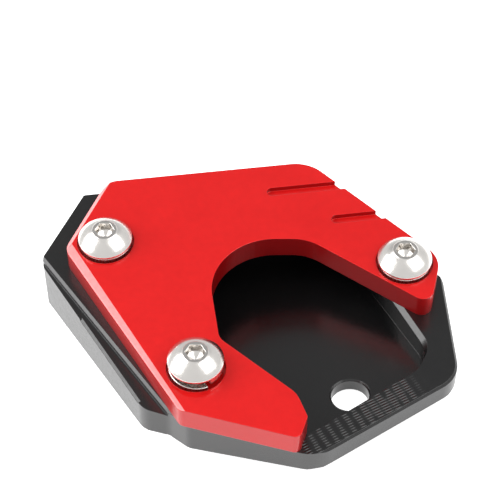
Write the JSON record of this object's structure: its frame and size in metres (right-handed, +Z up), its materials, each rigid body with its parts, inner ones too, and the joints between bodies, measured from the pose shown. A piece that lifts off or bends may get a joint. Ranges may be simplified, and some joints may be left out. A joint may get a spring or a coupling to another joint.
{
  "type": "kickstand foot plate",
  "caption": "Wedge-shaped foot plate for a motorcycle side stand: black base with a foot pocket, red clamp plate with a U-shaped opening, button-head screws on split washers.",
  "frame": {"origin": "middle of the footprint's bounding box, on the ground face of the base", "axes": "+Z up from the ground, +X along the longer side towards the right-hand screw, +Y away from the free front edge"},
  "size_m": [0.0728, 0.0622, 0.0207],
  "materials": {
    "black_anodised": "satin black anodised, milled",
    "red_anodised": "satin red anodised, milled",
    "washer_steel": "bright spring steel",
    "screw_steel": "polished stainless steel"
  },
  "bodies": {
    "root": {"base_plate": "black_anodised", "clamp_plate": "red_anodised", "washer_left": "washer_steel", "washer_front": "washer_steel", "washer_right": "washer_steel", "screw_left": "screw_steel", "screw_front": "screw_steel", "screw_right": "screw_steel"}
  },
  "joints": []
}
